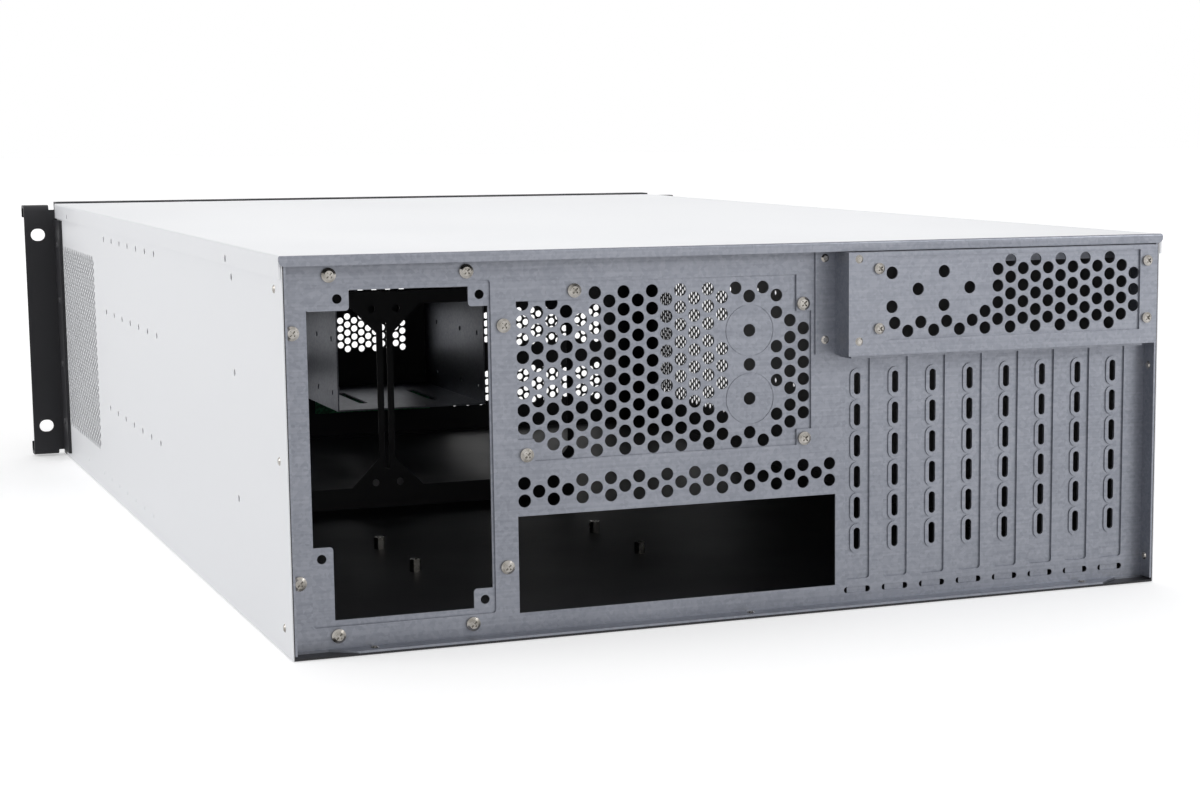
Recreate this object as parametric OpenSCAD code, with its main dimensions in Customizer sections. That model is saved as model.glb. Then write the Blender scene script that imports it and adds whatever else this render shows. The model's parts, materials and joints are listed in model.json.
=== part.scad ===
// Rackmount server case, four rack units high, for a full size mainboard.
// Millimetres. X runs to the right seen from the front, the front faces -Y, Z is up.
// The origin is the middle of the footprint, at the level of the case's underside.

/* [Case] */
// Width over the two side walls
case_w = 439; // [436:0.5:442]
// Length of the side walls
case_len = 712; // [660:1:760]
// Height over the top cover
case_h = 176; // [174:0.5:178]
// Thickness of the case's sheet metal
sheet = 1; // [0.8:0.1:1.2]
// How far the rear panel sits in from the rear edges of the side walls
recess = 9; // [6:0.5:14]
// Width of the flanges folded inwards along the side walls
wall_fold = 10; // [7:0.5:14]

/* [Front] */
// Depth of the front panel's folded tray
front_depth = 14; // [12:0.5:20]
// How far the front panel stands over the cover
front_over = 1; // [0.4:0.1:1.8]
// Thickness of the front panel
front_sheet = 1.5; // [1:0.1:2]
// Pitch of the front's ventilation holes
front_pitch = 6; // [5.6:0.1:8]
// Diameter of the front's ventilation holes
front_hole_d = 4.8; // [3:0.1:5]

/* [Rack ears] */
// Width over the two rack ears
rack_w = 482.6; // [480:0.1:484]
// How much lower the rack ears are than the case
ear_under = 2; // [1:0.5:6]
// Thickness of the rack ears
ear_sheet = 2; // [1.5:0.1:2.5]
// Distance between the left and right mounting slots
rack_hole_w = 465.1; // [464:0.1:466]
// Distance between the upper and lower mounting slots
rack_hole_h = 133.35; // [126:0.05:140]
// Length of a mounting slot
rack_slot_len = 9.6; // [8.8:0.1:10.5]
// Height of a mounting slot
rack_slot_h = 8.4; // [6.8:0.1:8.6]
// Length of the ear's fold along the side wall
ear_fold = 25; // [18:0.5:35]

/* [Top cover] */
// Height of the cover's side flanges
cover_side = 10; // [7:0.5:12]
// Height of the cover's rear flange
cover_rear = 4.6; // [3.5:0.1:4.8]
// Clearance between the cover and the case
cover_gap = 0.2; // [0.1:0.05:0.4]

/* [Side ventilation and rail holes] */
// Pitch of the side walls' ventilation holes
side_vent_pitch = 5; // [4.8:0.1:7]
// Diameter of the side walls' ventilation holes
side_vent_d = 4; // [2.5:0.1:4.2]
// Distance between two neighbouring rail holes
rail_pitch = 30; // [26:0.5:34]
// Diameter of the rail holes
rail_hole_d = 3.4; // [2.6:0.1:4.2]

/* [Ports] */
// Height of the port opening above the underside
port_low = 10.65; // [8:0.05:12]
// Width of the port opening
port_w = 158.75; // [158.7:0.05:159.2]
// Height of the port opening
port_h = 44.45; // [44.4:0.05:44.9]
// Pitch of the rear's round ventilation holes
vent_pitch = 8; // [7.6:0.1:8.2]
// Diameter of the rear's round ventilation holes
vent_hole_d = 6; // [4.5:0.1:6.4]

/* [Expansion slots] */
// Distance between two slots
slot_pitch = 20.32; // [20.2:0.01:20.5]
// Distance from the case's middle to the first slot
slot_from_middle = 57; // [56.6:0.1:57.4]
// Width of a slot's opening
slot_w = 13; // [12.1:0.1:13.6]
// Width of a slot cover
slot_cover_w = 18.4; // [17:0.1:19]
// Thickness of a slot cover
slot_sheet = 0.9; // [0.8:0.1:1.2]
// Depth of the hood over the slot covers' upper ends
hood_depth = 16.5; // [15:0.5:20]

/* [Power supply] */
// Distance between the power supply's two upper holes
psu_top_w = 64; // [63:0.1:65]
// Distance between the two lower holes, sideways
psu_low_w = 74; // [73:0.1:75]
// Distance of the power supply's upper holes below the case's top
psu_drop = 19.8; // [19:0.1:21]
// Distance of its lower hole on the ports' side above the underside
psu_low = 18.2; // [17:0.1:19]
// How much higher the lower hole on the wall's side is than the one on the ports' side
psu_step = 24; // [23:0.1:25]
// Diameter of the power supply's holes
psu_hole_d = 4.2; // [3.8:0.1:4.4]

/* [Fan wall] */
// Distance from the front of the side walls to the fan wall
fan_y = 323; // [300:1:360]
// Size of a fan
fan_size = 120; // [119:0.5:121]
// Distance between a fan's screw holes
fan_hole_span = 105; // [104:0.5:106]

/* [Drive cage] */
// Length of the drive cage
cage_len = 135; // [126:1:150]
// Width inside the drive cage
cage_w = 102; // [101.6:0.1:103]
// Height of the drive cage's underside above the case's underside
cage_low = 37; // [36.6:0.1:42]
// Distance of the drive cage below the case's top
cage_drop = 15; // [12:1:24]

/* [Hidden] */

over = 0.5;
lattice_share = sqrt(3) / 2;
round_fn = 40;
case_white = [0.93, 0.94, 0.96];
bare_steel = [0.66, 0.68, 0.73];
paint_black = [0.13, 0.13, 0.15];
nickel = [0.8, 0.78, 0.74];

// screws and rivets
screw_d = 6.4;
screw_rise = 1.1;
screw_dome = 0.8;
screw_top_share = 0.62;
screw_shank_d = 3;
screw_hole_d = 3.4;
screw_len = 4;
cross_w = 0.8;
cross_len_share = 0.52;
small_screw_share = 0.82;
rivet_d = 4;
rivet_rise = 0.6;
rivet_top_share = 0.6;
rivet_shank_d = 2.4;
rivet_hole_d = 2.6;
corner_r = 1.6;

// places along Y, from the front face to the heads of the hood's screws
full_len = front_depth + case_len - recess + hood_depth + screw_rise + screw_dome;
front_y = -full_len / 2;
wall_front = front_y + front_depth;
wall_rear = wall_front + case_len;
panel_y = wall_rear - recess;
wall_x = case_w / 2;
inner_x = wall_x - sheet;
cover_z = case_h - sheet;
front_h = case_h + front_over;
ear_h = case_h - ear_under;

// side walls
side_vent_end = 167;
side_vent_from_ear = 2;
side_vent_low = 23;
side_vent_drop = 27;
side_vent_h = case_h - side_vent_drop - side_vent_low;
rail_row_low = 56.4;
rail_row_drop = [59.9, 15.2];
rail_rows = concat([rail_row_low], [for (d = rail_row_drop) case_h - d]);
rail_first = 213;
rail_count = 7;
rail_rear = 107;
dimple_z = 11;
dimple_d = 3;
dimple_h = 0.4;
dimple_first = 109;
dimple_next = 176;
dimple_count = 7;
dimple_pitch = 30.5;

// top cover
cover_hole_rear = 114;
cover_hole_front = 60;
cover_hole_share = 0.7;
cover_corner = 2.5;

// front panel: three rows of perforated fields, in three columns
window_low = 17;
window_step = 44.45;
window_h = 31.5;
window_wide = 120;
window_mid = 76;
window_gap = 32;
tab_reach = 6;
tab_h = 12;
tab_from_edge = 30;
tab_rows = [tab_from_edge, case_h / 2, case_h - tab_from_edge];

// controls, in the middle field of the lowest row
control_z = 27.5;
power_x = 34;
power_d = 11;
reset_x = 19;
reset_d = 5;
light_x = 7;
light_pitch = 7;
light_d = 3;
usb_x = -16;
usb_pitch = 20;
usb_w = 14;
usb_h = 6.4;
usb_mouth_w = 12.4;
usb_mouth_h = 4.8;
usb_len = 9;
button_gap = 0.3;
button_travel = 1.5;
button_collar = 1.4;
collar_h = 1;
stem_d = 3;
stem_h = 2;
switch_w = 6;
board_w = 86;
board_h = 16;
board_t = 1.6;
board_back = 11.6;
board_margin = 8;

// rack ears
ear_low = 1;
ear_lip_h = 8.5;
ear_notch = 3.2;
ear_bend = 4;
ear_screw_low = [26, 66];
ear_screw_drop = [66, 28];
ear_screw_z = concat(ear_screw_low, [for (d = ear_screw_drop) case_h - d]);
ear_screw_in = 14;
ear_screw_d = 6;
ear_screw_h = 0.9;
ear_shank_d = 3;
ear_hole_d = 3.2;

// rear panel
panel_gap = 0.2;
panel_top = cover_z - panel_gap;
panel_fold = 10;
wall_rivet_share = 0.6;
wall_rivet_from_edge = [12, 15];
wall_rivet_z = [wall_rivet_from_edge[0], case_h / 2 - 2 * sheet, case_h - wall_rivet_from_edge[1]];
lip_inset = 28.5;
lip_jog = 12;
lip_rivet_share = 0.4;
lip_rivet_x = [-181, 0.6, 182];
side_rivet_from_edge = [12.5, 66];
side_rivet_z = [side_rivet_from_edge[0], case_h - side_rivet_from_edge[1]];

// power supply opening and its bracket
psu_side = 15.1;
psu_open_edge = [4.8, 6.4];
psu_inner_edge = 3.7;
psu_tab = 5.2;
psu_plate_edge = [13.3, 14.8];
psu_screw_out = 10.5;
psu_screw_in = [6.2, 14.2];
psu_left = inner_x - psu_side;
psu_x = psu_left - psu_low_w;
psu_z = case_h - psu_drop;
psu_short_z = psu_low + psu_step;
psu_rect = [psu_x, psu_low, psu_left, psu_z];
psu_screw_at = concat(
    [for (z = [psu_low - psu_screw_out, psu_z + psu_screw_out],
        x = [psu_x + psu_screw_in[0], psu_left - psu_screw_in[0]]) [x, z]],
    [for (x = [psu_x - psu_screw_out, psu_left + psu_screw_out],
        z = [psu_low + psu_screw_in[1], psu_z - psu_screw_in[1]]) [x, z]]);

// ventilation plate beside the power supply, its holes counted from its upper corner
vent_cols = 21;
vent_from_psu = 19.8;
vent_drop = 20.8;
vent_over_ports = 20;
vent_top = case_h - vent_drop;
vent_rows = floor((vent_top - port_low - port_h - vent_over_ports) / vent_pitch);
vent_x = psu_x - vent_from_psu;
vent_r = vent_hole_d / 2;
vent_edge = [3.6, 3.2, 3.2, 5.5];
vent_notch_ul = [33, 8.2];
vent_notch_ur = [7.6, 17.2];
vent_notch_lr = [7.6, 7.5];
vent_notch_ll = [7.7, 10];
vent_plate_edge = [4.4, 6, 1.5, 7.3];
screw_clear = 7.5;
knockout_r = 14.6;
knockout_rows = [2, vent_rows - 4];
knockout_col = 16;
knockout_groove = 0.3;
knockout_line = 0.4;
row_count = 12;
row_from_vent = 0.6;
row_below_vent = 5.1;

// expansion slots and the ports beside them
slot_count = 8;
slot_low = 12.8;
port_from_slot = 11.7;
ledge_drop = 54;
ledge_z = case_h - ledge_drop;
ledge_depth = 12;
tongue_w = 10;
tongue_low = 3.6;
tongue_slot_w = 14;
tongue_slot_h = 3;
tongue_slot_z = 7.6;
tongue_step = 10.6;
oval_w = 3.4;
oval_h = 10.6;
oval_rim = 1.9;
oval_rise = 0.6;
oval_low = 32.5;
oval_drop = 14.3;
oval_least_pitch = 15;
oval_count = floor((ledge_z - oval_drop - oval_low) / oval_least_pitch) + 1;
oval_pitch = (ledge_z - oval_drop - oval_low) / (oval_count - 1);
slot_screw_d = 6;
slot_screw_h = 1.8;
slot_screw_shank = 2.8;
slot_screw_hole = 3;
slot_screw_x = 4.5;
slot_x = -slot_from_middle;
slot_last = slot_x - (slot_count - 1) * slot_pitch;
port_x = slot_x + port_from_slot;

// hood and its perforated plate
hood_over_first = 12.6;
hood_over_last = 14.5;
hood_clear = 0.4;
hood_window_edge = [10, 7, 19.6, 2.1];
hood_plate_edge = [2.2, 2.7, 12];
hood_screw_side = [6.2, 15.6];
hood_screw_low = 12.7;
hood_screw_drop = 7.6;
hood_rivet_in = 5.4;
hood_rivet_low = 6.9;
hood_rivet_drop = 3;
hood_foot = 10;
hood_first_hole = [24.5, 5.6];
hood_cols = 20;
hood_rows = 5;
hood_sparse_cols = 7;
hood_spare_at = [23, 9.9];
hood_left = slot_x + hood_over_first;
hood_right = slot_last - hood_over_last;
hood_low = ledge_z + sheet / 2;
hood_top = case_h - cover_rear - hood_clear;
hood_window = [hood_right + hood_window_edge[0], hood_low + hood_window_edge[1],
    hood_left - hood_window_edge[2], hood_top - hood_window_edge[3]];
hood_screw_at = [for (x = [hood_right + hood_screw_side[0], hood_left - hood_screw_side[1]],
    z = [hood_low + hood_screw_low, hood_top - hood_screw_drop]) [x, z]];
hood_rivet_z = [hood_low + hood_rivet_low, hood_top - hood_rivet_drop];

// fan wall
fan_wall_y = wall_front + fan_y;
fan_first_x = 14;
fan_count = 2;
fan_low = 8.6;
fan_rim = 5;
fan_open_cut = 17;
fan_hole_d = 4.4;
fan_top = 2.9;
fan_fold = 12;
fan_slit_w = 2.4;
fan_slit_h = 88;
fan_end_fold = 8;
fan_foot_pitch = 75;
fan_centre_z = fan_low + fan_size / 2;
fan_wall_top = fan_low + fan_size + fan_top;

// drive cage
cage_x = 6;
cage_fold = 9;
cage_hole_d = 3.6;
cage_h = case_h - cage_drop - cage_low;
cage_hole_z = [11.6, 48.6, 85.6];
cage_hole_y = [19, 79, 120.6];
cage_front = front_y + front_sheet;
cage_slot = [6, 70];

// mainboard standoffs
standoff_d = 6;
standoff_h = 6.5;
standoff_hole_d = 2.5;
standoff_hole_depth = 5;
board_from_port = 2.2;
board_from_panel = 14;
board_cols = [0, 124.46, 281.94];
board_rows = [0, 154.94, 227.33];
board_at = [for (x = board_cols, y = board_rows)
    [port_x + port_w + board_from_port - x, panel_y - board_from_panel - y]];

function grid_x(first, i) = first - i * vent_pitch * lattice_share;
function grid_z(first, i, k) = first - (k + (i % 2 == 0 ? 0.5 : 0)) * vent_pitch;
function clear_of(p, list, r) = len([for (q = list) if (norm(p - q) < r) 1]) == 0;
function grown(b, e) = [b[0] - e[0], b[1] - e[1], b[2] + e[2], b[3] + e[3]];

// the vent opening follows the plate's field of holes
vent_open = grown([grid_x(vent_x, vent_cols - 1), grid_z(vent_top, 1, vent_rows - 1),
    vent_x, vent_top], vent_edge);
vent_notches = [
    [vent_open[2] - vent_notch_ul[0], vent_open[3] - vent_notch_ul[1], vent_open[2], vent_open[3]],
    [vent_open[0], vent_open[3] - vent_notch_ur[1], vent_open[0] + vent_notch_ur[0], vent_open[3]],
    [vent_open[0], vent_open[1], vent_open[0] + vent_notch_lr[0], vent_open[1] + vent_notch_lr[1]],
    [vent_open[2] - vent_notch_ll[0], vent_open[1], vent_open[2], vent_open[1] + vent_notch_ll[1]]];
vent_screw_at = [
    [vent_notches[0][0] + vent_notch_ul[0] / 6, vent_notches[0][1] + vent_notch_ul[1] / 2],
    [vent_notches[1][0] + vent_notch_ur[0] * 0.56, vent_notches[1][1] + vent_notch_ur[1] / 5],
    [vent_notches[2][0] + vent_notch_lr[0] / 2, vent_notches[2][1] + vent_notch_lr[1] * 0.4],
    [vent_notches[3][0] + vent_notch_ll[0] / 2, vent_notches[3][1] + vent_notch_ll[1] * 0.3]];

// round holes of the vent plate: those that the panel leaves open, apart from the two
// blank discs, which keep only their middle hole
knockouts = [for (k = knockout_rows)
    [grid_x(vent_x, knockout_col), grid_z(vent_top, knockout_col, k)]];
function in_opening(p) = p[1] > vent_open[1] + vent_r
    && (p[0] < vent_notches[0][0] || p[1] < vent_notches[0][1])
    && (p[0] + vent_r < vent_notches[3][0] || p[1] > vent_notches[3][3])
    && (p[0] > vent_notches[1][2] + vent_r
        || (p[1] < vent_notches[1][1] && p[1] > vent_notches[2][3]));
vent_holes = [for (i = [0 : vent_cols - 1], k = [0 : vent_rows - 1])
    let (p = [grid_x(vent_x, i), grid_z(vent_top, i, k)])
    if (in_opening(p) && clear_of(p, vent_screw_at, screw_clear)
        && (clear_of(p, knockouts, knockout_r) || !clear_of(p, knockouts, sheet))) p];

// round holes of the hood's plate: one row and a few single holes at the ports' end
function hood_first_row(i) = i > hood_sparse_cols ? 0
    : hood_rows - (i % 2 == 0 || i == hood_sparse_cols ? 2 : 1);
hood_holes = concat(
    [for (i = [0 : hood_cols - 1], k = [0 : hood_rows - 1])
        let (p = [grid_x(hood_left - hood_first_hole[0], i),
            grid_z(hood_top - hood_first_hole[1], i, k)])
        if (k >= hood_first_row(i) && p[1] > hood_window[1] + vent_r
            && clear_of(p, hood_screw_at, screw_clear)) p],
    [for (i = [0 : 3], k = i % 2 == 0 ? [0, 2] : [1])
        [grid_x(hood_left - hood_spare_at[0], 2 * i),
            hood_top - hood_spare_at[1] - k * vent_pitch]]);

// a flat sheet across the case, from y - t to y
module upright(y, t) {
    translate([0, y, 0]) rotate([90, 0, 0]) linear_extrude(t) children();
}

// a flat sheet along the case, from x to x + t
module along(x, t) {
    translate([x, 0, 0]) rotate([90, 0, 90]) linear_extrude(t) children();
}

// a rectangle from its two corners
module area(b) {
    translate([b[0], b[1]]) square([b[2] - b[0], b[3] - b[1]]);
}

// a rectangle with round corners
module soft_area(b, r) {
    translate([b[0] + r, b[1]]) square([b[2] - b[0] - 2 * r, b[3] - b[1]]);
    translate([b[0], b[1] + r]) square([b[2] - b[0], b[3] - b[1] - 2 * r]);
    for (x = [b[0] + r, b[2] - r], z = [b[1] + r, b[3] - r])
        translate([x, z]) circle(r, $fn = round_fn);
}

// an oblong hole or boss, w along the first axis and h along the second
module oblong(w, h) {
    r = min(w, h) / 2;
    straight = max(w, h) - 2 * r;
    rotate(w > h ? 0 : 90) {
        translate([-straight / 2, -r]) square([straight, 2 * r]);
        for (s = [-1, 1]) translate([s * straight / 2, 0]) circle(r, $fn = round_fn);
    }
}

module hole_at(places, d) {
    for (p = places) translate(p) circle(d = d, $fn = round_fn);
}

// staggered round holes that fill a rectangle
module perforation(b, pitch, d) {
    step = pitch * lattice_share;
    cols = floor((b[2] - b[0] - d) / step);
    rows = floor((b[3] - b[1] - d) / pitch);
    hole_at([for (i = [0 : cols], k = [0 : rows - (i % 2)])
        [(b[0] + b[2]) / 2 + (i - cols / 2) * step,
            (b[1] + b[3]) / 2 + (k - rows / 2 + (i % 2) / 2) * pitch]], d);
}

// pan head screw with a cross recess, its head on the rear of a sheet, pointing forwards
module pan_screw(at, y, share = 1) {
    d = screw_d * share;
    top = screw_rise + screw_dome;
    translate([at[0], y, at[1]]) rotate([-90, 0, 0]) {
        difference() {
            union() {
                cylinder(d = d, h = screw_rise, $fn = round_fn);
                translate([0, 0, screw_rise])
                    cylinder(d1 = d, d2 = d * screw_top_share, h = screw_dome, $fn = round_fn);
            }
            for (turn = [45, 135]) rotate(turn)
                translate([-d * cross_len_share / 2, -cross_w / 2, top - screw_rise])
                    cube([d * cross_len_share, cross_w, screw_rise + over]);
        }
        translate([0, 0, -screw_len])
            cylinder(d = screw_shank_d * share, h = screw_len, $fn = round_fn);
    }
}

// low domed rivet head on the plane z = 0, its shank below
module rivet(grip) {
    cylinder(d1 = rivet_d, d2 = rivet_d * rivet_top_share, h = rivet_rise, $fn = round_fn);
    translate([0, 0, -grip]) cylinder(d = rivet_shank_d, h = grip, $fn = round_fn);
}

function fan_x(i) = fan_first_x + i * fan_size;
function fan_foot(i) = [fan_first_x + (i - 0.5) * fan_foot_pitch, fan_wall_y - fan_fold / 2];

// floor of the case, between the side walls
module bottom_pan() {
    color(paint_black) linear_extrude(sheet) difference() {
        area([-inner_x, wall_front, inner_x, wall_rear]);
        hole_at(board_at, standoff_hole_d);
        hole_at([for (i = [0 : fan_count]) fan_foot(i)], screw_hole_d);
    }
}

// holes that the cover's side flanges share with the side walls
module cover_holes() {
    hole_at([for (y = [wall_front + cover_hole_front, wall_rear - cover_hole_rear])
        [y, case_h - cover_side * cover_hole_share]], rail_hole_d);
}

// outline of a side wall in Y and Z, with its ventilation and its rows of holes
module wall_face() {
    rail_y = concat([for (i = [0 : rail_count - 1]) wall_front + rail_first + i * rail_pitch],
        [wall_rear - rail_rear]);
    difference() {
        area([wall_front, 0, wall_rear, cover_z]);
        perforation([wall_front + ear_fold + side_vent_from_ear, side_vent_low,
            wall_front + side_vent_end, side_vent_low + side_vent_h], side_vent_pitch, side_vent_d);
        hole_at([for (y = rail_y, z = rail_rows) [y, z]], rail_hole_d);
        cover_holes();
        hole_at([for (z = wall_rivet_z) [panel_y - panel_fold * wall_rivet_share, z]], rivet_hole_d);
        hole_at([for (z = ear_screw_z) [wall_front + ear_screw_in, z]], ear_hole_d);
    }
}

// side wall on the +X side, with its flanges under the cover and over the floor
module side_wall() {
    flange_front = wall_front + tab_reach + front_sheet;
    dimple_y = concat([dimple_first],
        [for (i = [0 : dimple_count - 1]) dimple_next + i * dimple_pitch]);
    color(case_white) {
        along(inner_x, sheet) wall_face();
        for (z = [sheet, cover_z - sheet]) translate([inner_x - wall_fold, flange_front, z])
            cube([wall_fold + sheet / 2, panel_y - 4 * sheet - flange_front, sheet]);
        for (y = dimple_y) translate([wall_x, wall_front + y, dimple_z]) rotate([0, 90, 0])
            cylinder(d1 = dimple_d, d2 = dimple_d / 2, h = dimple_h, $fn = round_fn);
    }
}

module side_wall_left() {
    side_wall();
}

module side_wall_right() {
    mirror([1, 0, 0]) side_wall();
}

// lift-off cover with round folds and flanges outside the side walls and behind them
module top_cover() {
    in_x = wall_x + cover_gap;
    out_x = in_x + sheet;
    front = wall_front + cover_gap;
    rear = wall_rear + cover_gap;
    rear_low = case_h - cover_rear;
    color(case_white) {
        difference() {
            upright(rear, rear - front) difference() {
                union() {
                    soft_area([-out_x, case_h - cover_side, out_x, case_h], sheet);
                    area([-out_x, case_h - cover_side, out_x, cover_z]);
                }
                area([-in_x, case_h - cover_side - over, in_x, cover_z]);
            }
            along(-out_x - over, 2 * (out_x + over)) cover_holes();
        }
        intersection() {
            upright(rear + sheet, 2 * sheet) intersection() {
                soft_area([-out_x, rear_low, out_x, case_h], sheet);
                soft_area([-out_x, rear_low, out_x, case_h + 2 * cover_corner], cover_corner);
            }
            along(-out_x, 2 * out_x) {
                area([rear, rear_low, rear + sheet, cover_z]);
                area([rear - sheet, cover_z, rear, case_h]);
                translate([rear, cover_z]) intersection() {
                    circle(sheet, $fn = round_fn);
                    square(sheet);
                }
            }
        }
    }
}

// the perforated fields of the front, apart from the one that holds the controls
module front_fields() {
    for (row = [0 : 2], side = [-1, 0, 1]) {
        wide = side == 0 ? window_mid : window_wide;
        x = cage_x + side * ((window_mid + window_wide) / 2 + window_gap) - wide / 2;
        z = window_low + row * window_step;
        if (row > 0 || side != 0)
            perforation([x, z, x + wide, z + window_h], front_pitch, front_hole_d);
    }
}

// folded front panel: face, four flanges and the tabs that reach inside the side walls
module front_panel() {
    color(paint_black) {
        upright(front_y + front_sheet, front_sheet) difference() {
            area([-wall_x, 0, wall_x, front_h]);
            front_fields();
            hole_at([[power_x, control_z]], power_d + 2 * button_gap);
            hole_at([[reset_x, control_z]], reset_d + 2 * button_gap);
            hole_at([for (i = [0, 1]) [light_x - i * light_pitch, control_z]],
                light_d + button_gap);
            for (i = [0, 1]) translate([usb_x - i * usb_pitch, control_z])
                square([usb_w, usb_h], center = true);
        }
        upright(wall_front, front_depth - front_sheet / 2) difference() {
            area([-wall_x, 0, wall_x, front_h]);
            area([-wall_x + front_sheet, front_sheet, wall_x - front_sheet, front_h - front_sheet]);
        }
        for (s = [0, 1], z = tab_rows) mirror([s, 0, 0])
            translate([inner_x - front_sheet, wall_front - front_depth / 2, z - tab_h / 2])
                cube([front_sheet, front_depth / 2 + tab_reach, tab_h]);
    }
}

// section of the ear: a plate with its top and bottom folded forwards and then in
module ear_section() {
    high = ear_low + ear_h;
    difference() {
        soft_area([front_y, ear_low, wall_front, high], ear_bend);
        soft_area([front_y + ear_sheet, ear_low + ear_sheet, wall_front - ear_sheet,
            high - ear_sheet], ear_bend - ear_sheet);
        area([front_y - over, ear_low + ear_lip_h, front_y + ear_bend, high - ear_lip_h]);
    }
}

// rack ear on the +X side: folded plate, and the fold along the side wall
module rack_ear() {
    high = ear_low + ear_h;
    x1 = rack_w / 2;
    lip_x = wall_x + ear_sheet + ear_notch;
    slots = [for (s = [-1, 1]) [rack_hole_w / 2, ear_low + ear_h / 2 + s * rack_hole_h / 2]];
    color(paint_black) {
        difference() {
            union() {
                along(lip_x, x1 - lip_x) ear_section();
                upright(wall_front, ear_sheet)
                    area([wall_x, ear_low + ear_notch, lip_x + ear_sheet, high - ear_notch]);
            }
            upright(wall_front + over, ear_sheet + 2 * over)
                for (p = slots) translate(p) oblong(rack_slot_len, rack_slot_h);
        }
        along(wall_x, ear_sheet) difference() {
            area([wall_front - ear_sheet, ear_low + ear_notch, wall_front + ear_fold,
                case_h - cover_side - sheet]);
            hole_at([for (z = ear_screw_z) [wall_front + ear_screw_in, z]], ear_hole_d);
        }
    }
}

module rack_ear_left() {
    rack_ear();
}

module rack_ear_right() {
    mirror([1, 0, 0]) rack_ear();
}

// flat screws that hold the ears' folds to the side walls
module ear_screws() {
    color(paint_black) for (side = [0, 1], z = ear_screw_z) mirror([side, 0, 0])
        translate([wall_x + ear_sheet, wall_front + ear_screw_in, z]) rotate([0, 90, 0]) {
            cylinder(d1 = ear_screw_d, d2 = ear_screw_d * rivet_top_share, h = ear_screw_h,
                $fn = round_fn);
            translate([0, 0, -ear_sheet - sheet])
                cylinder(d = ear_shank_d, h = ear_sheet + sheet, $fn = round_fn);
        }
}

// outline of the rear panel with everything that is cut through it
module rear_face() {
    row_x = vent_x + row_from_vent;
    row_z = vent_top - vent_rows * vent_pitch - row_below_vent;
    difference() {
        area([sheet - inner_x, 2 * sheet, inner_x - sheet, panel_top]);
        soft_area(grown(psu_rect, concat(psu_open_edge, psu_open_edge)), corner_r);
        difference() {
            soft_area(vent_open, corner_r);
            for (b = vent_notches) area(b);
        }
        area([port_x, port_low, port_x + port_w, port_low + port_h]);
        hole_at([for (i = [0 : 2 * row_count - 2], s = i % 2 == 0 ? [0, 1] : [0.5])
            [grid_x(row_x, i), row_z - s * vent_pitch]], vent_hole_d);
        for (i = [0 : slot_count - 1]) translate([slot_x - i * slot_pitch, 0]) {
            soft_area([-slot_w / 2, slot_low, slot_w / 2, ledge_z + 2 * corner_r], corner_r);
            translate([0, tongue_slot_z]) oblong(tongue_slot_w, tongue_slot_h);
        }
        area([slot_last - slot_cover_w / 2 - hood_clear, ledge_z,
            slot_x + slot_cover_w / 2 + hood_clear, hood_top - hood_rivet_low]);
        hole_at(concat(psu_screw_at, vent_screw_at), screw_hole_d);
        hole_at([for (z = hood_rivet_z) [hood_left + hood_foot / 2, z]], rivet_hole_d);
    }
}

// frame around the rear panel: its side flanges and its stepped lower lip
module rear_frame() {
    lip_x = inner_x - lip_inset;
    rivet_y = panel_y + recess * lip_rivet_share;
    color(bare_steel) {
        for (s = [0, 1]) mirror([s, 0, 0]) along(inner_x - sheet, sheet) difference() {
            union() {
                area([panel_y - panel_fold, 2 * sheet, panel_y, cover_z - 2 * sheet]);
                area([panel_y - sheet, 2 * sheet, wall_rear, panel_top]);
            }
            hole_at([for (z = side_rivet_z) [rivet_y, z]], rivet_hole_d);
            hole_at([for (z = wall_rivet_z) [panel_y - panel_fold * wall_rivet_share, z]],
                rivet_hole_d);
        }
        translate([0, 0, sheet]) linear_extrude(sheet) difference() {
            polygon([[-inner_x, panel_y - sheet], [inner_x, panel_y - sheet],
                [inner_x, panel_y + sheet], [lip_x + lip_jog, panel_y + sheet],
                [lip_x, wall_rear], [-lip_x, wall_rear],
                [-lip_x - lip_jog, panel_y + sheet], [-inner_x, panel_y + sheet]]);
            hole_at([for (x = lip_rivet_x) [x, rivet_y]], rivet_hole_d);
        }
    }
}

// rear panel: its face, with the ledge for the slot covers folded out of it
module rear_panel() {
    color(bare_steel) {
        upright(panel_y, sheet) rear_face();
        translate([0, 0, ledge_z - sheet]) linear_extrude(sheet) difference() {
            area([slot_last - slot_cover_w / 2, panel_y - sheet / 2,
                slot_x + slot_cover_w / 2, panel_y + ledge_depth]);
            hole_at([for (i = [0 : slot_count - 1])
                [slot_x - i * slot_pitch + slot_screw_x, panel_y + ledge_depth / 2]],
                slot_screw_hole);
        }
    }
}

// corner of the bracket that carries one hole, out to the inner outline and past it
module psu_corner(at, toward) {
    reach = psu_inner_edge + 2 * psu_tab;
    x = [at[0] - toward[0] * psu_tab, at[0] + toward[0] * reach];
    z = [at[1] - toward[1] * psu_tab, at[1] + toward[1] * reach];
    soft_area([min(x), min(z), max(x), max(z)], corner_r);
}

// frame that carries the power supply, behind the panel's opening
module psu_bracket() {
    holes = [[psu_x, psu_z], [psu_x + psu_top_w, psu_z], [psu_x, psu_low],
        [psu_left, psu_short_z]];
    toward = [[-1, 1], [1, 1], [-1, -1], [1, -1]];
    edge = psu_inner_edge;
    color(bare_steel) upright(panel_y - sheet, sheet) difference() {
        area(grown(psu_rect, concat(psu_plate_edge, psu_plate_edge)));
        difference() {
            soft_area(grown(psu_rect, [edge, edge, edge, edge]), corner_r);
            for (i = [0 : 3]) psu_corner(holes[i], toward[i]);
            area([psu_left - psu_tab, psu_low - edge, psu_left + edge, psu_short_z]);
        }
        hole_at(holes, psu_hole_d);
        hole_at(psu_screw_at, screw_hole_d);
    }
}

module psu_screws() {
    color(nickel) for (p = psu_screw_at) pan_screw(p, panel_y);
}

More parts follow.
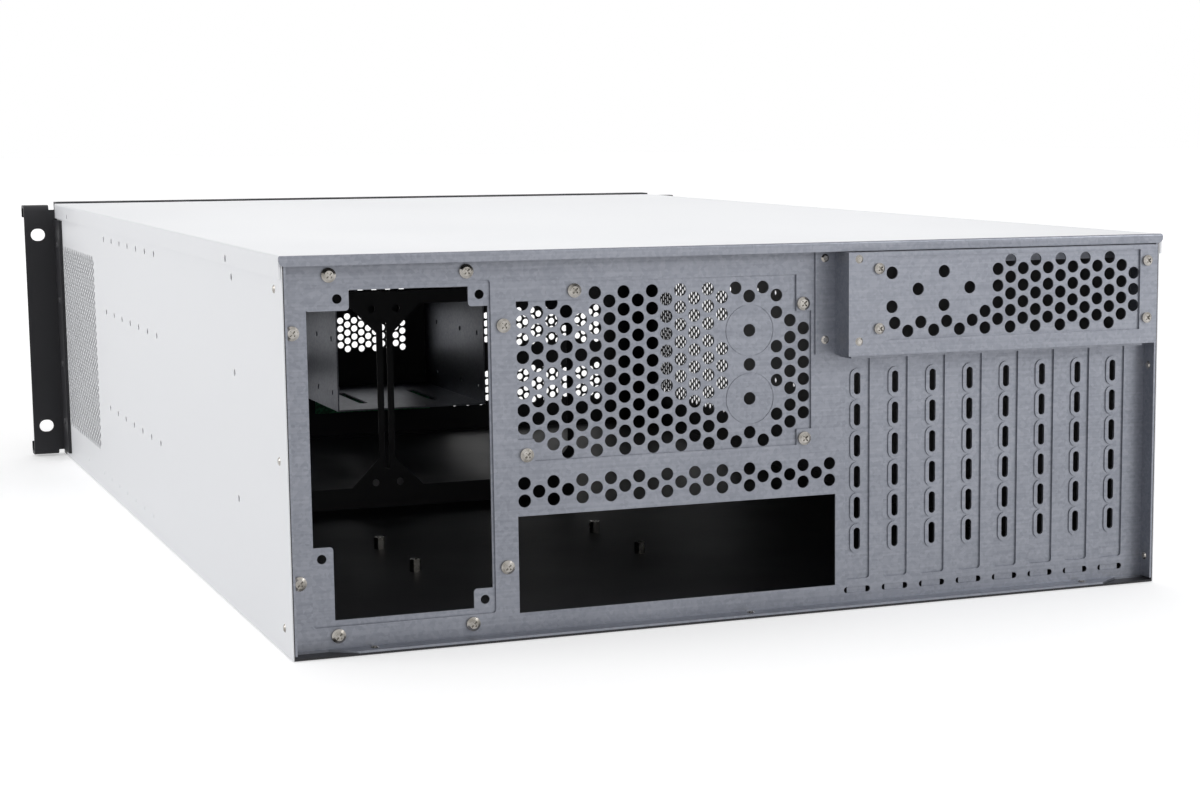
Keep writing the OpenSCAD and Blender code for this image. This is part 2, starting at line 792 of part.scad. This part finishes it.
// perforated plate with two blank discs around knock-out holes
module vent_plate() {
    disc_r = 2 * vent_pitch - vent_r - 2 * knockout_line;
    color(bare_steel) difference() {
        upright(panel_y - sheet, sheet) difference() {
            area(grown(vent_open, vent_plate_edge));
            hole_at(vent_holes, vent_hole_d);
            hole_at(vent_screw_at, screw_hole_d);
        }
        for (p = knockouts) upright(panel_y - sheet + over, over + knockout_groove) translate(p)
            difference() {
                circle(disc_r, $fn = round_fn);
                circle(disc_r - knockout_line, $fn = round_fn);
            }
    }
}

module vent_plate_screws() {
    color(nickel) for (p = vent_screw_at) pan_screw(p, panel_y);
}

// box over the slot covers' upper ends, open towards the case and below
module slot_hood() {
    rear = panel_y + hood_depth;
    color(bare_steel) {
        upright(rear, sheet) difference() {
            area([hood_right, hood_low, hood_left, hood_top]);
            area(hood_window);
            hole_at(hood_screw_at, screw_hole_d * small_screw_share);
            hole_at([for (z = hood_rivet_z) [hood_left - hood_rivet_in, z]], rivet_hole_d);
        }
        for (x = [hood_right, hood_left - sheet]) along(x, sheet)
            area([panel_y, hood_low, rear - sheet / 2, hood_top]);
        translate([hood_right, panel_y, hood_top - sheet])
            cube([hood_left - hood_right, hood_depth - sheet / 2, sheet]);
        upright(panel_y + sheet, sheet) difference() {
            area([hood_left - sheet, hood_low, hood_left + hood_foot, hood_top]);
            hole_at([for (z = hood_rivet_z) [hood_left + hood_foot / 2, z]], rivet_hole_d);
        }
    }
}

// perforated plate behind the hood's window
module hood_vent_plate() {
    color(bare_steel) upright(panel_y + hood_depth - sheet, sheet) difference() {
        area([hood_right + hood_plate_edge[0], hood_low + hood_plate_edge[1],
            hood_left - hood_plate_edge[2], hood_top - sheet]);
        hole_at(hood_holes, vent_hole_d);
        hole_at(hood_screw_at, screw_hole_d * small_screw_share);
    }
}

module hood_screws() {
    color(nickel) for (p = hood_screw_at) pan_screw(p, panel_y + hood_depth, small_screw_share);
}

// blank cover of one slot: strip with six raised ovals, narrow tongue, folded upper tab
module slot_cover(i) {
    back = panel_y - sheet;
    color(bare_steel) translate([slot_x - i * slot_pitch, 0, 0]) {
        difference() {
            union() {
                upright(back, slot_sheet) {
                    area([-slot_cover_w / 2, tongue_step, slot_cover_w / 2, ledge_z + slot_sheet]);
                    area([-tongue_w / 2, tongue_low, tongue_w / 2, tongue_step + sheet]);
                }
                upright(back + oval_rise, oval_rise + slot_sheet / 2)
                    for (k = [0 : oval_count - 1]) translate([0, oval_low + k * oval_pitch])
                        oblong(oval_w + 2 * oval_rim, oval_h + 2 * oval_rim);
            }
            upright(back + oval_rise + over, oval_rise + slot_sheet + 2 * over)
                for (k = [0 : oval_count - 1]) translate([0, oval_low + k * oval_pitch])
                    oblong(oval_w, oval_h);
        }
        translate([0, 0, ledge_z]) linear_extrude(slot_sheet) difference() {
            area([-slot_cover_w / 2, back - slot_sheet, slot_cover_w / 2, panel_y + ledge_depth]);
            hole_at([[slot_screw_x, panel_y + ledge_depth / 2]], screw_hole_d);
        }
    }
}

// hexagon head screws that hold the slot covers' tabs on the ledge
module slot_screws() {
    color(nickel) for (i = [0 : slot_count - 1])
        translate([slot_x - i * slot_pitch + slot_screw_x, panel_y + ledge_depth / 2,
            ledge_z + slot_sheet]) {
            cylinder(d = slot_screw_d, h = slot_screw_h, $fn = 6);
            translate([0, 0, -slot_sheet - sheet])
                cylinder(d = slot_screw_shank, h = slot_sheet + sheet, $fn = round_fn);
        }
}

// rivets of the hood, of the lower lip and of the panel's side flanges
module panel_rivets() {
    rivet_y = panel_y + recess * lip_rivet_share;
    color(nickel) {
        for (z = hood_rivet_z) translate([hood_left + hood_foot / 2, panel_y + sheet, z])
            rotate([-90, 0, 0]) rivet(2 * sheet);
        for (z = hood_rivet_z) translate([hood_left - hood_rivet_in, panel_y + hood_depth, z])
            rotate([-90, 0, 0]) rivet(sheet);
        for (x = lip_rivet_x) translate([x, rivet_y, 2 * sheet]) rivet(sheet);
        for (s = [0, 1], z = side_rivet_z) mirror([s, 0, 0])
            translate([inner_x - sheet, rivet_y, z]) rotate([0, -90, 0]) rivet(sheet);
        for (s = [0, 1], z = wall_rivet_z) mirror([s, 0, 0])
            translate([wall_x, panel_y - panel_fold * wall_rivet_share, z])
                rotate([0, 90, 0]) rivet(2 * sheet);
    }
}

// fan opening: a square with its corners cut off
module fan_opening() {
    h = fan_size / 2 - fan_rim;
    c = h - fan_open_cut;
    polygon([[-h, -c], [-c, -h], [c, -h], [h, -c], [h, c], [c, h], [-c, h], [-h, c]]);
}

// sheet with two fan openings, across the case in front of the mainboard
module fan_wall() {
    right = fan_x(0) - fan_size / 2;
    left = inner_x - wall_fold - 2 * sheet;
    color(paint_black) {
        upright(fan_wall_y + sheet, sheet) difference() {
            area([right, sheet, left, fan_wall_top]);
            for (i = [0 : fan_count - 1]) translate([fan_x(i), fan_centre_z]) {
                fan_opening();
                hole_at([for (x = [-1, 1], z = [-1, 1]) [x, z] * fan_hole_span / 2], fan_hole_d);
            }
            translate([fan_x(0) + fan_size / 2, fan_centre_z])
                square([fan_slit_w, fan_slit_h], center = true);
        }
        translate([0, 0, sheet]) linear_extrude(sheet) difference() {
            area([right, fan_wall_y - fan_fold, left, fan_wall_y + sheet / 2]);
            hole_at([for (i = [0 : fan_count]) fan_foot(i)], screw_hole_d);
        }
        translate([right, fan_wall_y - fan_fold, fan_wall_top - sheet])
            cube([left - right, fan_fold + sheet / 2, sheet]);
        translate([left - sheet, fan_wall_y - fan_end_fold, sheet])
            cube([sheet, fan_end_fold + sheet / 2, fan_wall_top - sheet]);
    }
}

module fan_wall_screws() {
    d = screw_d * small_screw_share;
    color(nickel) for (i = [0 : fan_count]) translate(concat(fan_foot(i), [2 * sheet])) {
        cylinder(d1 = d, d2 = d * screw_top_share, h = screw_rise + screw_dome, $fn = round_fn);
        translate([0, 0, -2 * sheet]) cylinder(d = screw_shank_d, h = 2 * sheet, $fn = round_fn);
    }
}

// wall of the drive cage, its drive holes in rows, with a foot on the front panel
module cage_wall() {
    x = cage_w / 2;
    color(bare_steel) {
        along(x, sheet) difference() {
            area([cage_front, cage_low, wall_front + cage_len, cage_low + cage_h]);
            hole_at([for (y = cage_hole_y, z = cage_hole_z) [wall_front + y, cage_low + z]],
                cage_hole_d);
        }
        translate([x, cage_front, cage_low]) cube([cage_fold, sheet, cage_h]);
    }
}

module cage_wall_left() {
    translate([cage_x, 0, 0]) cage_wall();
}

module cage_wall_right() {
    translate([cage_x, 0, 0]) mirror([1, 0, 0]) cage_wall();
}

// floor and roof of the drive cage, between its walls
module cage_shelf(z) {
    color(bare_steel) translate([cage_x, 0, z]) linear_extrude(sheet) difference() {
        area([-cage_w / 2, cage_front, cage_w / 2, wall_front + cage_len]);
        for (s = [-1, 1]) translate([s * cage_w / 4, wall_front + cage_len / 2])
            oblong(cage_slot[0], cage_slot[1]);
    }
}

// six sided standoffs for the mainboard
module board_standoffs() {
    color(nickel) for (p = board_at) translate(concat(p, [sheet])) difference() {
        cylinder(d = standoff_d, h = standoff_h, $fn = 6);
        translate([0, 0, standoff_h - standoff_hole_depth])
            cylinder(d = standoff_hole_d, h = standoff_hole_depth + over, $fn = round_fn);
    }
}

// push button: flush cap in the front panel, collar behind it, stem towards its switch
module button(x, d) {
    cap = front_sheet + button_gap;
    translate([x, front_y, control_z]) rotate([-90, 0, 0]) {
        cylinder(d = d, h = cap, $fn = round_fn);
        translate([0, 0, cap]) cylinder(d = d + 2 * button_collar, h = collar_h, $fn = round_fn);
        translate([0, 0, cap + collar_h]) cylinder(d = stem_d, h = stem_h, $fn = round_fn);
    }
}

module power_button() {
    color(nickel) button(power_x, power_d);
}

module reset_button() {
    color(paint_black) button(reset_x, reset_d);
}

// two round lights, flush in the front panel, on the board behind
module status_lights() {
    color([0.75, 0.85, 0.95]) for (i = [0, 1])
        translate([light_x - i * light_pitch, front_y, control_z]) rotate([-90, 0, 0])
            cylinder(d = light_d, h = board_back, $fn = round_fn);
}

// two sockets whose metal shells fill their holes in the front panel
module usb_ports() {
    color(bare_steel) for (i = [0, 1])
        translate([usb_x - i * usb_pitch, front_y, control_z]) difference() {
            translate([-usb_w / 2, 0, -usb_h / 2]) cube([usb_w, board_back, usb_h]);
            translate([-usb_mouth_w / 2, -over, -usb_mouth_h / 2])
                cube([usb_mouth_w, usb_len + over, usb_mouth_h]);
        }
}

// circuit board behind the controls, with the buttons' two switches
module control_board() {
    switch_front = front_sheet + collar_h + stem_h + 2 * button_gap + button_travel;
    color("darkgreen") {
        translate([power_x + board_margin - board_w, front_y + board_back, control_z - board_h / 2])
            cube([board_w, board_t, board_h]);
        for (x = [power_x, reset_x])
            translate([x - switch_w / 2, front_y + switch_front, control_z - switch_w / 2])
                cube([switch_w, board_back + board_t / 2 - switch_front, switch_w]);
    }
}

bottom_pan();
side_wall_left();
side_wall_right();
top_cover();
front_panel();
rack_ear_left();
rack_ear_right();
ear_screws();
rear_frame();
rear_panel();
psu_bracket();
psu_screws();
vent_plate();
vent_plate_screws();
slot_hood();
hood_vent_plate();
hood_screws();
slot_cover(0);  // slot_cover_1
slot_cover(1);  // slot_cover_2
slot_cover(2);  // slot_cover_3
slot_cover(3);  // slot_cover_4
slot_cover(4);  // slot_cover_5
slot_cover(5);  // slot_cover_6
slot_cover(6);  // slot_cover_7
slot_cover(7);  // slot_cover_8
slot_screws();
panel_rivets();
fan_wall();
fan_wall_screws();
cage_wall_left();
cage_wall_right();
cage_shelf(cage_low);  // cage_floor
cage_shelf(cage_low + cage_h - sheet);  // cage_roof
board_standoffs();
power_button();
reset_button();
status_lights();
usb_ports();
control_board();
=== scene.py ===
import json

import bpy
import bmesh
from mathutils import Matrix, Vector


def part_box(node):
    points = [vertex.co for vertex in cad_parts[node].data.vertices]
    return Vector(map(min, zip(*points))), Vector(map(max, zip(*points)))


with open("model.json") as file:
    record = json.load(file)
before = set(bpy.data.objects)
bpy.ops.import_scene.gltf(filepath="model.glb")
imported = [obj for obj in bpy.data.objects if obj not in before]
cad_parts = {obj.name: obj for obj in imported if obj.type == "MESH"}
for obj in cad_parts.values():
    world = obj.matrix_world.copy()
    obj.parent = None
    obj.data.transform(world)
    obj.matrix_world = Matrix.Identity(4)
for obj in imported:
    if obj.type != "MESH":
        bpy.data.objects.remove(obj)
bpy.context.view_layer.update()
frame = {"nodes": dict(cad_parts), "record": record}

# the photograph's camera: sensor and lens in millimetres, the rest in metres in the case's frame
SENSOR_W = 36.0
LENS = 71.6248
SHIFT_X = -0.140622
SHIFT_Y = 0.052783
EYE = Vector((0.439731, 1.370070, 0.233070))
VIEW_RIGHT = Vector((-0.91478587, 0.40392989, -0.00273146))
VIEW_UP = Vector((-0.06020028, -0.12964367, 0.98973150))
VIEW_BACK = Vector((0.39942801, 0.90555683, 0.14291289))
CAMERA_REACH = 60

# plain colours of the case's finishes
COAT_WHITE = (0.80, 0.81, 0.835)
COAT_BLACK = (0.020, 0.020, 0.023)
ZINC_DARK = (0.178, 0.189, 0.220)
ZINC_PALE = (0.290, 0.302, 0.340)
# both nickel tones are darkened below the plating's own colour: painted shade standing in for
# the dark recesses of the screws
NICKEL_SHADED_WARM = (0.44, 0.42, 0.395)
NICKEL_SHADED_DARK = (0.25, 0.235, 0.21)
PLASTIC_BLACK = (0.022, 0.022, 0.025)
LENS_TINT = (0.62, 0.74, 0.84)
RESIST_GREEN = (0.012, 0.085, 0.035)

# powder coat: scales per metre, shares, and depths in metres
COAT_CLOUDS = 9.0
COAT_GRAIN = 1400.0
COAT_PEEL = 420.0
PEEL_SHARE = 0.6
COAT_TONES = (0.97, 1.03)
COAT_DEPTH = 0.00005
COAT_SHINE = 0.3
WHITE_ROUGH = (0.38, 0.47)
BLACK_ROUGH = (0.44, 0.53)
HALF_SHEET = 0.0005

# galvanised sheet: the rolling lines run along the case's width
ZINC_LINES = (14.0, 900.0, 900.0)
ZINC_CLOUDS = 16.0
ZINC_CRYSTALS = 620.0
CLOUD_SHARE = 0.34
LINE_SHARE = 0.42
CRYSTAL_SHARE = 0.2
ZINC_TONE_RANGE = (0.2, 0.76)
ZINC_ROUGH_RANGE = (0.3, 0.75)
ZINC_ROUGH = (0.46, 0.34)
ZINC_METAL = 0.78
ZINC_DEPTH = 0.00002

# screws, buttons, lights and the small circuit board
NICKEL_WEAR = 260.0
NICKEL_TONE_RANGE = (0.35, 0.7)
NICKEL_ROUGH = (0.16, 0.3)
PLASTIC_GRAIN = 2200.0
PLASTIC_ROUGH = 0.52
PLASTIC_DEPTH = 0.00003
LENS_ROUGH = 0.12
LENS_COAT = 0.6
TRACK_SCALE = 500.0
TRACK_RANGE = (0.48, 0.52)
TRACK_TONE = 2.2
BOARD_ROUGH = 0.3

# middle part of a noise's range, and how much detail it has
NOISE_RANGE = (0.3, 0.7)
SMOOTH = 1.0
FINE = 2.0
CLOUDY = 4.0

# floor, sky and lamps
FLOOR_SIZE = 14.0
FLOOR_DROP = 0.0003
FLOOR_ROUGH = 0.9
FLOOR_PALE = (0.86, 0.86, 0.865)
FLOOR_GLOW = (0.36, 0.58)
GLOW_REACH = (0.7, 2.5)
SKY_LEVEL = 0.52
SKY_COLOUR = (1.0, 1.0, 1.0, 1.0)

# name, place, target, width and height, and watts of each lamp
LAMPS = (
    ("overhead_box", (0.2, 0.2, 2.6), (0, 0, 0.1), (2.4, 2.4), 7),
    ("side_box", (2.8, -0.2, 1.2), (0.2, 0, 0.08), (1.8, 1.4), 23),
    ("rear_box", (-1.3, 1.7, 0.9), (-0.25, 0.6, 0.0), (0.9, 0.9), 15),
    ("front_box", (-0.9, -2.6, 1.5), (0, -0.3, 0.08), (1.8, 1.4), 8),
)


class Reading:
    """One shader socket that adds, multiplies and is taken from a number like a number."""

    def __init__(self, finish, socket):
        self.finish = finish
        self.socket = socket

    def joined(self, operation, first, second):
        return self.finish.joined_math(operation, first, second)

    def __add__(self, other):
        return self.joined("ADD", self, other)

    def __rsub__(self, other):
        return self.joined("SUBTRACT", other, self)

    def __mul__(self, other):
        return self.joined("MULTIPLY", self, other)

    __radd__ = __add__
    __rmul__ = __mul__


class Finish:
    """A material under construction, around its one shader."""

    def __init__(self, name):
        self.material = bpy.data.materials.new(name)
        self.material.use_nodes = True
        self.tree = self.material.node_tree
        self.shader = self.tree.nodes["Principled BSDF"]
        self.place = self.node("ShaderNodeTexCoord", output="Object")

    def feed(self, socket, value):
        if isinstance(value, Reading):
            self.tree.links.new(value.socket, socket)
        elif value is not None:
            socket.default_value = value

    def node(self, kind, settings=None, inputs=(), output=0):
        made = self.tree.nodes.new(kind)
        for name, value in (settings or {}).items():
            setattr(made, name, value)
        pairs = inputs.items() if isinstance(inputs, dict) else enumerate(inputs)
        for key, value in pairs:
            self.feed(made.inputs[key], value)
        return Reading(self, made.outputs[output])

    def joined_math(self, operation, first, second):
        return self.node("ShaderNodeMath", {"operation": operation}, [first, second])

    def stretched(self, scale):
        return self.node("ShaderNodeMapping", inputs={"Vector": self.place, "Scale": scale})

    def noise(self, scale, detail=3.0, place=None):
        inputs = {"Vector": place or self.place, "Scale": scale, "Detail": detail}
        return self.node("ShaderNodeTexNoise", inputs=inputs, output="Fac")

    def above(self, value, limit):
        return self.joined_math("GREATER_THAN", value, limit)

    def spread(self, value, low, high, to_low=0.0, to_high=1.0):
        return self.node("ShaderNodeMapRange", inputs=[value, low, high, to_low, to_high])

    def between(self, share, first, second):
        made = self.tree.nodes.new("ShaderNodeMix")
        made.data_type = "RGBA"
        self.feed(made.inputs[0], share)
        for socket, colour in ((made.inputs[6], first), (made.inputs[7], second)):
            self.feed(socket, colour if isinstance(colour, Reading) else (*colour, 1.0))
        return Reading(self, made.outputs[2])

    def relief(self, height, depth):
        inputs = {"Strength": 1.0, "Distance": depth, "Height": height}
        return self.node("ShaderNodeBump", inputs=inputs, output="Normal")

    def surface(self, colour, roughness, metallic=0.0, normal=None, **plain):
        shown = colour if isinstance(colour, Reading) else (*colour, 1.0)
        self.feed(self.shader.inputs["Base Color"], shown)
        self.feed(self.shader.inputs["Roughness"], roughness)
        self.feed(self.shader.inputs["Metallic"], metallic)
        self.feed(self.shader.inputs["Normal"], normal)
        for name, value in plain.items():
            self.shader.inputs[name.replace("_", " ")].default_value = value
        return self.material


def shade(colour, share):
    return tuple(channel * share for channel in colour)


def coat_look(finish, colour, roughness):
    """Baked powder: a fine orange peel, with very slight clouds in colour and gloss."""
    clouds = finish.noise(COAT_CLOUDS, CLOUDY)
    grain = finish.noise(COAT_GRAIN, FINE)
    peel = finish.noise(COAT_PEEL, SMOOTH)
    darker, lighter = (shade(colour, tone) for tone in COAT_TONES)
    tone = finish.between(clouds, darker, lighter)
    rough = finish.spread(clouds, *NOISE_RANGE, *roughness)
    return tone, rough, peel * PEEL_SHARE + grain * (1 - PEEL_SHARE)


def zinc_look(finish):
    """Zinc coated sheet: rolling lines, faint crystals and cloudy handling marks."""
    lines = finish.noise(1.0, place=finish.stretched(ZINC_LINES))
    clouds = finish.noise(ZINC_CLOUDS, CLOUDY)
    crystal = finish.node("ShaderNodeTexVoronoi", {"feature": "F1"},
                          {"Vector": finish.place, "Scale": ZINC_CRYSTALS}, "Color")
    crystal_tone = finish.node("ShaderNodeSeparateColor", inputs=[crystal])
    share = clouds * CLOUD_SHARE + lines * LINE_SHARE + crystal_tone * CRYSTAL_SHARE
    tone = finish.between(finish.spread(share, *ZINC_TONE_RANGE), ZINC_DARK, ZINC_PALE)
    rough = finish.spread(share, *ZINC_ROUGH_RANGE, *ZINC_ROUGH)
    return tone, rough, lines


def black_coat():
    finish = Finish("black_powder_coat")
    tone, rough, height = coat_look(finish, COAT_BLACK, BLACK_ROUGH)
    relief = finish.relief(height, COAT_DEPTH)
    return finish.surface(tone, rough, normal=relief, Specular_IOR_Level=COAT_SHINE)


def galvanised_sheet():
    finish = Finish("galvanised_steel")
    tone, rough, height = zinc_look(finish)
    return finish.surface(tone, rough, ZINC_METAL, finish.relief(height, ZINC_DEPTH))


def shell_coat():
    """White outside and black inside, with the cover's rear flange left as bare zinc."""
    finish = Finish("white_powder_coat")
    inner_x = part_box("bottom_pan")[1][0]
    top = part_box("top_cover")[1][2]
    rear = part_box("side_wall_left")[1][1]
    apart = finish.node("ShaderNodeSeparateXYZ", inputs=[finish.place])
    along_y = Reading(finish, apart.socket.node.outputs[1])
    along_z = Reading(finish, apart.socket.node.outputs[2])
    aside = finish.node("ShaderNodeMath", {"operation": "ABSOLUTE"}, [apart])
    outside = finish.joined_math("MAXIMUM", finish.above(aside, inner_x + HALF_SHEET),
                                 finish.above(along_z, top - HALF_SHEET))
    bare = finish.above(along_y, rear + HALF_SHEET)
    white, white_rough, height = coat_look(finish, COAT_WHITE, WHITE_ROUGH)
    zinc, zinc_rough = zinc_look(finish)[:2]
    painted = finish.between(outside, COAT_BLACK, white)
    tone = finish.between(bare, painted, zinc)
    rough = white_rough * (1 - bare) + zinc_rough * bare
    return finish.surface(tone, rough, bare * ZINC_METAL, finish.relief(height, COAT_DEPTH))


def nickel_plate():
    finish = Finish("nickel_plate")
    wear = finish.noise(NICKEL_WEAR, CLOUDY)
    worn = finish.spread(wear, *NICKEL_TONE_RANGE)
    # the wear noise mixes two nickel tones that both carry painted shade of the screw recesses
    tone = finish.between(worn, NICKEL_SHADED_WARM, NICKEL_SHADED_DARK)
    rough = finish.spread(wear, *NOISE_RANGE, *NICKEL_ROUGH)
    return finish.surface(tone, rough, 1.0)


def black_plastic():
    finish = Finish("black_plastic")
    relief = finish.relief(finish.noise(PLASTIC_GRAIN, FINE), PLASTIC_DEPTH)
    return finish.surface(PLASTIC_BLACK, PLASTIC_ROUGH, normal=relief)


def clear_lens():
    return Finish("light_lens").surface(LENS_TINT, LENS_ROUGH, Coat_Weight=LENS_COAT)


def circuit_board():
    finish = Finish("circuit_board")
    tracks = finish.spread(finish.noise(TRACK_SCALE, SMOOTH), *TRACK_RANGE)
    tone = finish.between(tracks, RESIST_GREEN, shade(RESIST_GREEN, TRACK_TONE))
    return finish.surface(tone, BOARD_ROUGH)


FINISHES = {
    "white_powder_coat": shell_coat(),
    "black_powder_coat": black_coat(),
    "galvanised_steel": galvanised_sheet(),
    "nickel_plate": nickel_plate(),
    "black_plastic": black_plastic(),
    "light_lens": clear_lens(),
    "circuit_board": circuit_board(),
}


def dress_nodes():
    """Gives every solid the finish that its record names."""
    for part in frame["record"]["subparts"]:
        piece = frame["nodes"][part["node"]]
        if not piece.material_slots:
            piece.data.materials.append(None)
        for held in piece.material_slots:
            held.material = FINISHES[part["material_slot"]]


def floor_material():
    """Pale floor that shows white to the camera and still takes the case's shadow."""
    finish = Finish("pale_floor")
    rays = finish.node("ShaderNodeLightPath", output="Is Camera Ray")
    mirrored = Reading(finish, rays.socket.node.outputs["Is Glossy Ray"])
    glow = finish.tree.nodes.new("ShaderNodeEmission")
    away = finish.node("ShaderNodeVectorMath", {"operation": "LENGTH"}, [finish.place], "Value")
    level = finish.spread(away, *GLOW_REACH, *FLOOR_GLOW)
    finish.surface(FLOOR_PALE, FLOOR_ROUGH)
    finish.feed(glow.inputs["Color"], level)
    finish.feed(glow.inputs["Strength"], rays + mirrored)
    both = finish.tree.nodes.new("ShaderNodeAddShader")
    finish.tree.links.new(finish.shader.outputs[0], both.inputs[0])
    finish.tree.links.new(glow.outputs[0], both.inputs[1])
    finish.tree.links.new(both.outputs[0], finish.tree.nodes["Material Output"].inputs[0])
    return finish.material


def floor():
    mesh = bpy.data.meshes.new("floor")
    form = bmesh.new()
    bmesh.ops.create_grid(form, x_segments=1, y_segments=1, size=FLOOR_SIZE)
    bmesh.ops.translate(form, verts=form.verts, vec=(0, 0, -FLOOR_DROP))
    form.to_mesh(mesh)
    form.free()
    mesh.materials.append(floor_material())
    piece = bpy.data.objects.new("floor", mesh)
    bpy.context.scene.collection.objects.link(piece)


def softbox(name, place, target, size, power):
    data = bpy.data.lights.new(name, "AREA")
    data.shape = "RECTANGLE"
    data.size, data.size_y = size
    data.energy = power
    lamp = bpy.data.objects.new(name, data)
    way = Vector(target) - Vector(place)
    turn = way.to_track_quat("-Z", "Y").to_matrix().to_4x4()
    lamp.matrix_world = Matrix.Translation(place) @ turn
    bpy.context.scene.collection.objects.link(lamp)


def studio():
    world = bpy.data.worlds.new("studio")
    world.use_nodes = True
    bpy.context.scene.world = world
    nodes = world.node_tree.nodes
    links = world.node_tree.links
    sky = nodes["Background"]
    rays = nodes.new("ShaderNodeLightPath")
    seen = rays.outputs["Is Camera Ray"]
    for other in ("Is Glossy Ray", "Is Transmission Ray"):
        either = nodes.new("ShaderNodeMath")
        either.operation = "MAXIMUM"
        links.new(seen, either.inputs[0])
        links.new(rays.outputs[other], either.inputs[1])
        seen = either.outputs[0]
    level = nodes.new("ShaderNodeMapRange")
    level.inputs["To Min"].default_value = SKY_LEVEL
    links.new(seen, level.inputs["Value"])
    links.new(level.outputs[0], sky.inputs["Strength"])
    sky.inputs["Color"].default_value = SKY_COLOUR
    for lamp in LAMPS:
        softbox(*lamp)


def camera():
    data = bpy.data.cameras.new("camera")
    data.sensor_width = SENSOR_W
    data.lens = LENS
    data.shift_x = SHIFT_X
    data.shift_y = SHIFT_Y
    data.clip_end = CAMERA_REACH
    eye = bpy.data.objects.new("camera", data)
    axes = Matrix((VIEW_RIGHT, VIEW_UP, VIEW_BACK)).transposed()
    eye.matrix_world = Matrix.Translation(EYE) @ axes.to_4x4()
    bpy.context.scene.collection.objects.link(eye)
    bpy.context.scene.camera = eye


camera()
dress_nodes()
floor()
studio()
bpy.context.scene.view_settings.view_transform = "Standard"
